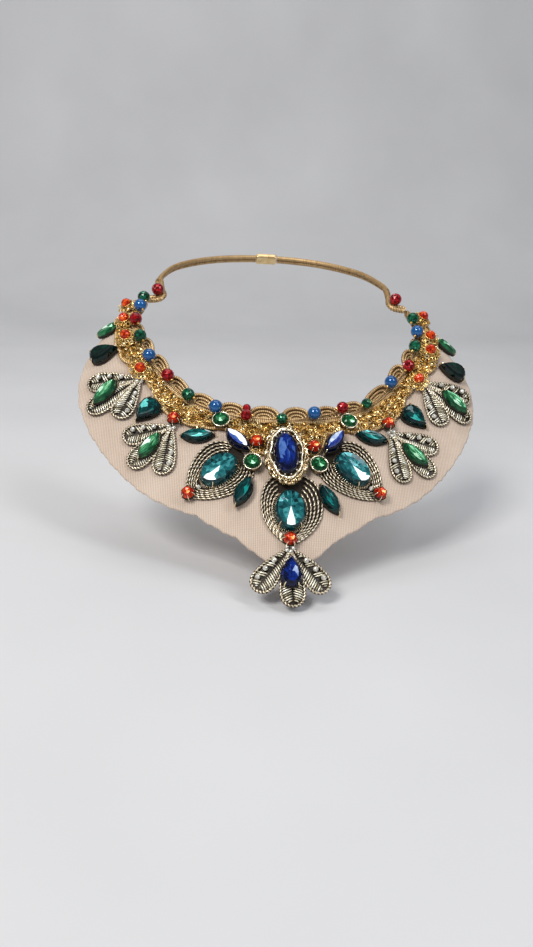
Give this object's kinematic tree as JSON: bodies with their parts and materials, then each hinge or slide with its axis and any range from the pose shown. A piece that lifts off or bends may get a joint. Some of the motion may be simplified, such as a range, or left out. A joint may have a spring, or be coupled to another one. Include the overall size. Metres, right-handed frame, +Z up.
{
  "type": "bib necklace",
  "caption": "Bib necklace of gold lace, corded medallions, petal fans and cut stones sewn to a shaped net, worn on two cord straps.",
  "frame": {"origin": "on the neck's axis, level with the sides of the neckline, where the neck carries the necklace", "axes": "+Z up along the neck, -Y out of the front of the bib, +X to the viewer's right from the front"},
  "size_m": [0.1848, 0.216, 0.1187],
  "materials": {
    "net": "fine ribbed skin-coloured net, matt",
    "lace_cord": "wrapped tan-gold cord, soft metal sheen",
    "gold_loops": "bright gold looped metal thread, glittering",
    "antique_cord": "twisted antique light-gold cord with dark grooves",
    "bullion": "pewter and silver bullion wire in antique-gold cord outlines",
    "gold_metal": "polished light gold",
    "stone_teal": "foil-backed cut glass, aqua teal",
    "stone_deep_teal": "foil-backed cut glass, dark teal",
    "stone_dark_green": "foil-backed cut glass, near-black green",
    "stone_green": "foil-backed cut glass, emerald green",
    "stone_light_green": "foil-backed cut glass, light emerald",
    "stone_blue": "foil-backed cut glass, royal blue",
    "stone_orange": "foil-backed cut glass, orange red",
    "beads": "cut red and green glass beads and blue pearls",
    "bead_orange": "orange glass beads with gold loops"
  },
  "bodies": {
    "root": {"accent_left_1": "bead_orange", "accent_left_2": "bead_orange", "accent_left_3": "bead_orange", "accent_left_4": "bead_orange", "accent_right_1": "bead_orange", "accent_right_2": "bead_orange", "accent_right_3": "bead_orange", "accent_right_4": "bead_orange", "bezel_left_lower": "stone_green", "bezel_left_upper": "stone_green", "bezel_right_lower": "stone_green", "bezel_right_upper": "stone_green", "centre_frame": "gold_metal", "centre_stone": "stone_blue", "chaton_fan_left": "stone_orange", "chaton_fan_right": "stone_orange", "chaton_frame_left": "stone_orange", "chaton_frame_right": "stone_orange", "chaton_tip_left": "stone_orange", "chaton_tip_lower": "stone_orange", "chaton_tip_right": "stone_orange", "clasp": "gold_metal", "edge_beads_left": "beads", "edge_beads_right": "beads", "fan_inner_left": "bullion", "fan_inner_right": "bullion", "fan_lower": "bullion", "fan_outer_left": "bullion", "fan_outer_right": "bullion", "gold_field": "gold_loops", "gold_lace": "lace_cord", "medallion_left": "antique_cord", "medallion_lower": "antique_cord", "medallion_right": "antique_cord", "navette_blue_left": "stone_blue", "navette_blue_right": "stone_blue", "navette_fan_inner_left": "stone_light_green", "navette_fan_inner_right": "stone_light_green", "navette_fan_outer_left": "stone_light_green", "navette_fan_outer_right": "stone_light_green", "navette_small_left": "stone_green", "navette_small_right": "stone_green", "navette_teal_left_lower": "stone_deep_teal", "navette_teal_left_upper": "stone_deep_teal", "navette_teal_right_lower": "stone_deep_teal", "navette_teal_right_upper": "stone_deep_teal", "net": "net", "oval_left": "stone_teal", "oval_lower": "stone_teal", "oval_right": "stone_teal", "pear_blue": "stone_blue", "pear_dark_left": "stone_dark_green", "pear_dark_right": "stone_dark_green", "pear_teal_left": "stone_deep_teal", "pear_teal_right": "stone_deep_teal", "strap_bead_left": "beads", "strap_bead_right": "beads", "strap_left": "lace_cord", "strap_right": "lace_cord"}
  },
  "joints": []
}
